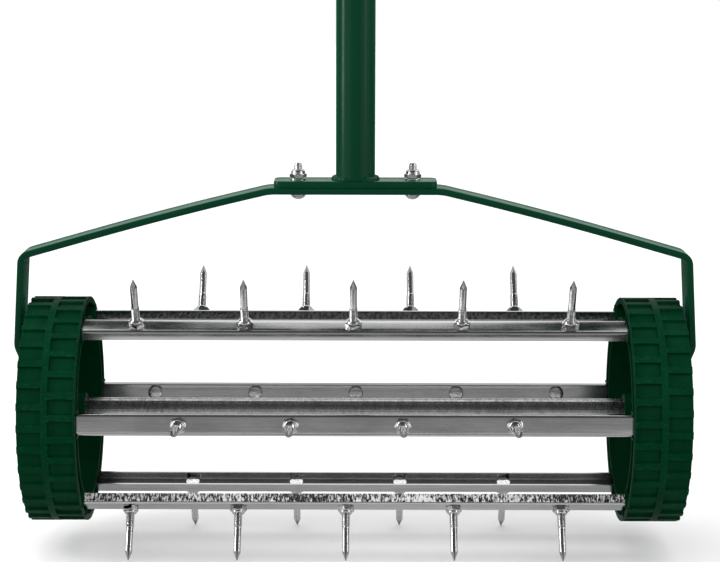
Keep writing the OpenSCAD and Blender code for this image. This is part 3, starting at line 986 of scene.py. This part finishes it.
def channel_outline(inset):
    """A channel with rounded corners and flanges leaning in a little, open towards the axle."""
    half, top, r = RAIL_W / 2 - inset, RAIL_R - inset, RAIL_EDGE - inset
    foot = half - TOE_IN * (RAIL_DEPTH - RAIL_EDGE)
    points = [(-foot, RAIL_R - RAIL_DEPTH)]
    for sx in (-1, 1):
        for k in range(RAIL_ARC_STEPS + 1):
            t = TAU / 4 * k / RAIL_ARC_STEPS
            c, s = (math.cos(t), math.sin(t)) if sx < 0 else (math.sin(t), math.cos(t))
            points.append((sx * (half - r + r * c), top - r + r * s))
    points.append((foot, RAIL_R - RAIL_DEPTH))
    return points


def rail_shape(i):
    """A rolled channel with its spike holes, and shallow punch marks where a rail of five has spikes."""
    low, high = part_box(f"rail_{i}")
    section = channel_outline(0) + channel_outline(RAIL_T)[::-1]
    count = len(section)
    verts, faces = skin([[(x, y, z) for y, z in section] for x in (low.x, high.x)])
    # The section isn't convex, so each end is closed by a row of quads across its wall
    faces = faces[:-2]
    for first in (0, count):
        faces += [[first + k, first + k + 1, first + count - 2 - k, first + count - 1 - k]
                  for k in range(count // 2 - 1)]
    cutters = [copies(drill(SPIKE_HOLE_R, RAIL_R - 5 * MM, RAIL_R + 3 * MM),
                      [Matrix.Translation((x, 0, 0)) for x in spike_places(i)])]
    if SPIKES_ON[i] == 4:
        mark = lathe([(3.7 * MM, RAIL_R - 0.12 * MM), (4.1 * MM, RAIL_R - 0.12 * MM),
                      (4.3 * MM, RAIL_R + 1 * MM), (3.5 * MM, RAIL_R + 1 * MM)], steps=40, closed=True)
        centre_x = middle(f"rail_{i}").x
        cutters.append(copies(mark, [Matrix.Translation((centre_x + k * PUNCH_PITCH, 0, 0))
                                     for k in range(-2, 3)]))
    return placed(combined((verts, faces), joined(cutters), "DIFFERENCE"), on_rail(i))


def spike_places(i):
    """X of the spikes on rail i, evenly spaced between the outer heads."""
    low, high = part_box(f"spikes_{i}")
    first, last = low.x + SPIKE_HEAD_R, high.x - SPIKE_HEAD_R
    count = SPIKES_ON[i]
    return [first + (last - first) * k / (count - 1) for k in range(count)]


def spike_shape():
    """A headed bolt with a rolled thread, a plain shank and a conical point."""
    seat = RAIL_R - RAIL_T
    head = seat - 3.6 * MM
    thread_end, point = TIP_R - 25 * MM, TIP_R - POINT_LONG
    root, crest, shank = SPIKE_ROOT, M6_CREST, 2.6 * MM
    r = SPIKE_HEAD_R
    return turned([
        (r - 1.6 * MM, head), (r - 0.7 * MM, head + 0.15 * MM),
        (r - 0.15 * MM, head + 0.7 * MM), (r, head + 1.5 * MM),
        (r, seat - 0.5 * MM), (r - 0.3 * MM, seat), (crest, seat), (crest, RAIL_R + 1 * MM),
        (root, RAIL_R + 1.3 * MM),
        Thread(root, crest, RAIL_R + 1.4 * MM, thread_end - 0.4 * MM, M6_PITCH),
        (crest - 0.1 * MM, thread_end - 0.2 * MM), (shank + 0.05 * MM, thread_end + 0.5 * MM),
        (shank, thread_end + 0.8 * MM), (shank, point - 0.3 * MM), (shank - 0.08 * MM, point),
        (1.5 * MM, point + 2.75 * MM), (0.45 * MM, TIP_R - 0.5 * MM), (0.2 * MM, TIP_R)])


def spikes_on_rail(i, one):
    """Each spike is turned its own way, so that the threads don't line up."""
    return copies(one, [on_rail(i, x) @ Matrix.Rotation(2.4 * k + i, 4, "Z")
                        for k, x in enumerate(spike_places(i))])


def nuts_on_rail(i, one):
    """The nuts stand at odd angles, as they do when tightened."""
    return copies(one, [on_rail(i, x) @ Matrix.Translation((0, 0, RAIL_R))
                        @ Matrix.Rotation(0.35 * math.sin(5.1 * k + 2.3 * i), 4, "Z")
                        for k, x in enumerate(spike_places(i))])


# ---------------------------------------------------------------- the object

def build_frame():
    made = partial(piece, "frame")
    made("fork_bent_bar", fork_shape(), GREEN_PAINT, "fork_bar", sharp=30)
    made("plate_rounded", plate_shape(), GREEN_PAINT, "handle_plate", sharp=30)
    made("plate_weld_bead", plate_bead(), GREEN_PAINT, "plate_weld", sharp=60)
    made("tube_lower", upright_tube("lower_tube"), GREEN_PAINT, "lower_tube")
    made("tube_upper", upper_tube_shape(), GREEN_PAINT, "upper_tube")
    made("crossbar_tube", crossbar_shape(), GREEN_PAINT, "crossbar")
    made("crossbar_weld_bead", crossbar_bead(), GREEN_PAINT, "crossbar_weld", sharp=60)
    made("grip_left_ribbed", grip_on(-1), RUBBER, "left_grip")
    made("grip_right_ribbed", grip_on(1), RUBBER, "right_grip")
    made("fork_bolts_threaded", fork_bolt_shape(), BRIGHT_ZINC, "fork_bolts")
    made("fork_lock_nuts", fork_nut_shape(), BRIGHT_ZINC, "fork_nuts")
    made("fork_washers_stamped", fork_washer_shape(), BRIGHT_ZINC, "fork_washers")
    made("tube_bolts_threaded", joint_bolt_shape(), BRIGHT_ZINC, "tube_bolts")
    made("tube_lock_nuts", joint_nut_shape(), BRIGHT_ZINC, "tube_nuts")
    made("axle_rod_threaded", axle_rod_shape(), BRIGHT_ZINC, "axle_rod")
    axle_nut = nut(M8_NUT_W, M8_NUT_H, M8_BORE_R, collar=2.6 * MM)
    made("axle_lock_nuts", on_both_ends("axle_nuts", axle_nut), BRIGHT_ZINC, "axle_nuts")
    stamped = washer(8 * MM, 4.2 * MM, 1.6 * MM)
    made("axle_washers_stamped", on_both_ends("axle_washers", stamped), BRIGHT_ZINC, "axle_washers")
    made("thrust_washers_stamped", on_both_ends("thrust_washers", stamped), BRIGHT_ZINC, "thrust_washers")


def streak_flanges(rail, i):
    """Gives the outer face of a flange that slants up its rough zinc, and on rail 6 zinc with painted glints.
    """
    rail.data.materials.append(GLINT_ZINC if i == GLINT_RAIL else FLANGE_ZINC)
    unturn = on_rail(i).inverted()
    for face in rail.data.polygons:
        at, normal = unturn @ face.center, unturn.to_3x3() @ face.normal
        on_flange = abs(at.y) > RAIL_W / 2 - RAIL_T and abs(normal.y) > 0.99
        if on_flange and 0.1 < face.normal.z < 0.9:
            face.material_index = 1


def build_drum():
    """The parts that turn. The bushes and the centre tube stay as they are in the CAD."""
    made = partial(piece, "drum")
    made("wheel_right_moulded", wheel_shape(1, RIB_LEAD), GREEN_PLASTIC, "right_wheel", sharp=30)
    made("wheel_left_moulded", wheel_shape(-1, HALF_PITCH - RIB_LEAD), GREEN_PLASTIC, "left_wheel", sharp=30)
    spike = spike_shape()
    spike_nut = nut(M6_NUT_W, SPIKE_NUT_H, M6_BORE_R, collar=1.9 * MM)
    for i in RAILS:
        rail = made(f"rail_{i}_channel", rail_shape(i), RAIL_ZINC, f"rail_{i}", sharp=30)
        streak_flanges(rail, i)
        made(f"spikes_{i}_threaded", spikes_on_rail(i, spike), SPIKE_ZINC, f"spikes_{i}")
        made(f"spike_nuts_{i}_turned", nuts_on_rail(i, spike_nut), BRIGHT_ZINC, f"spike_nuts_{i}")
    for node, (material, slot) in (("left_bush", NYLON), ("right_bush", NYLON), ("spacer_tube", TUBE_ZINC)):
        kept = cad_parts[node]
        kept.data.materials.clear()
        kept.data.materials.append(material)


# ---------------------------------------------------------------- floor, light and camera

def build_floor():
    """A pale sheet from just in front of the drum to far behind it, with painted shade in bands that all but
    the camera see.
    """
    side, front = 8.0, -0.6
    floor = add_mesh("floor", ([(-side, front, 0), (side, front, 0), (side, side, 0), (-side, side, 0)],
                               [[0, 1, 2, 3]]))
    p = Paint("pale_floor")
    pale = p.ramp(p.noise(3, 2), (0.3, 0.93), (0.7, 0.95))
    split = p.nodes.new("ShaderNodeSeparateXYZ")
    p.links.new(p.place, split.inputs["Vector"])
    per_metre = 0.5
    behind_front = p.maths(p.maths(split.outputs["Y"], -front), per_metre, "MULTIPLY")
    # Painted shade: darker bands of floor, seen only in reflections and bounced light, stand in for shade on
    # the floor in front of and behind the drum
    shade_bands = p.ramp(behind_front, (0.06, 0.62), (0.1, 0.12), (0.185, 0.12), (0.225, 0.62), (0.31, 0.62),
                   (0.425, 0.3), (0.7, 0.05))
    seen = p.nodes.new("ShaderNodeLightPath").outputs["Is Camera Ray"]
    p.set(p.mix(seen, shade_bands, pale), p.ramp(p.noise(5, 2), (0.3, 0.7), (0.7, 0.8)))
    p.shader.inputs["Specular IOR Level"].default_value = 0.0
    floor.data.materials.append(p.material)


LIT_PLACE = Vector((0, 0, 0.2))
CAMERA_SKY = 1.0
DIFFUSE_SKY = 1.25


def add_area(name, at, size, power):
    """A soft box that shines on the fork and drum, and isn't seen itself."""
    light = bpy.data.lights.new(name, "AREA")
    light.shape, light.size, light.size_y = "RECTANGLE", size[0], size[1]
    light.energy = power
    lamp = bpy.data.objects.new(name, light)
    bpy.context.scene.collection.objects.link(lamp)
    lamp.location = at
    lamp.rotation_mode = "QUATERNION"
    lamp.rotation_quaternion = (LIT_PLACE - Vector(at)).to_track_quat("-Z", "Y")
    lamp.visible_camera = False


def build_light():
    """Soft boxes left and right, and a sky whose strength depends on the kind of ray.

    The camera sees plain white, and matt surfaces are lit evenly. Glossy ones reflect a sky that is
    bright high up behind the object and low down in front to both sides.
    """
    add_area("left_side", (-1.5, -0.3, 0.85), (0.45, 1.5), 15.0)
    add_area("right_side", (1.3, -0.75, 0.8), (0.3, 1.3), 2.4)
    world = bpy.data.worlds.new("studio")
    bpy.context.scene.world = world
    world.use_nodes = True
    nodes, links = world.node_tree.nodes, world.node_tree.links
    background = nodes["Background"]
    ray = nodes.new("ShaderNodeLightPath")
    split = nodes.new("ShaderNodeSeparateXYZ")
    links.new(nodes.new("ShaderNodeTexCoord").outputs["Generated"], split.inputs["Vector"])

    def sweep(value, low, high, start, end):
        """Goes smoothly from low to high as the value goes from start to end."""
        node = nodes.new("ShaderNodeMapRange")
        node.interpolation_type = "SMOOTHSTEP"
        for socket, number in zip(("From Min", "From Max", "To Min", "To Max"), (start, end, low, high)):
            node.inputs[socket].default_value = number
        links.new(value, node.inputs["Value"])
        return node.outputs["Result"]

    def maths(operation, *values):
        node = nodes.new("ShaderNodeMath")
        node.operation = operation
        for socket, value in zip(node.inputs, values):
            links.new(value, socket)
        return node.outputs["Value"]

    def mix(share, a, b):
        """From a to b, each a socket or a plain number, as the share goes from 0 to 1."""
        node = nodes.new("ShaderNodeMix")
        node.data_type = "FLOAT"
        links.new(share, node.inputs[0])
        for socket, value in zip(node.inputs[2:4], (a, b)):
            if isinstance(value, float):
                socket.default_value = value
            else:
                links.new(value, socket)
        return node.outputs[0]

    x, y, z = split.outputs
    front = maths("MINIMUM", sweep(z, 0.1, 0.3, -0.35, -0.1), sweep(z, 0.3, 0.08, 0.0, 0.4))
    back = maths("ADD", sweep(z, 0.1, 0.65, 0.0, 0.16), sweep(z, 0.0, 0.6, 0.3, 0.8))
    ahead = mix(sweep(y, 0.0, 1.0, 0.02, 0.22), front, back)
    outward = sweep(maths("ABSOLUTE", x), 0.0, 0.9, 0.4, 0.6)
    forward, low_down = sweep(y, 1.0, 0.0, -0.2, 0.2), sweep(z, 1.0, 0.05, 0.2, 0.55)
    beside = maths("MULTIPLY", maths("MULTIPLY", outward, forward), low_down)
    strength = mix(ray.outputs["Is Diffuse Ray"], maths("MAXIMUM", ahead, beside), DIFFUSE_SKY)
    links.new(mix(ray.outputs["Is Camera Ray"], strength, CAMERA_SKY), background.inputs["Strength"])
    background.inputs["Color"].default_value = (1, 1, 1, 1)
    bpy.context.scene.view_settings.view_transform = "Standard"


def build_camera():
    """A long lens in front of the drum, looking down a little."""
    camera = bpy.data.objects.new("camera", bpy.data.cameras.new("camera"))
    bpy.context.scene.collection.objects.link(camera)
    camera.data.sensor_width, camera.data.lens = 36, 98.14
    yaw, pitch, roll = -0.0003815, -0.1673496, -0.0026675
    turn = (Matrix.Rotation(yaw, 4, "Z") @ Matrix.Rotation(pitch, 4, "X") @ Matrix.Rotation(roll, 4, "Y")
            @ Matrix.Rotation(TAU / 4, 4, "X"))
    camera.matrix_world = Matrix.Translation(AXLE + Vector((0.00301, -1.44721, 0.34208))) @ turn
    bpy.context.scene.camera = camera


build_camera()
build_light()
build_floor()
build_frame()
build_drum()
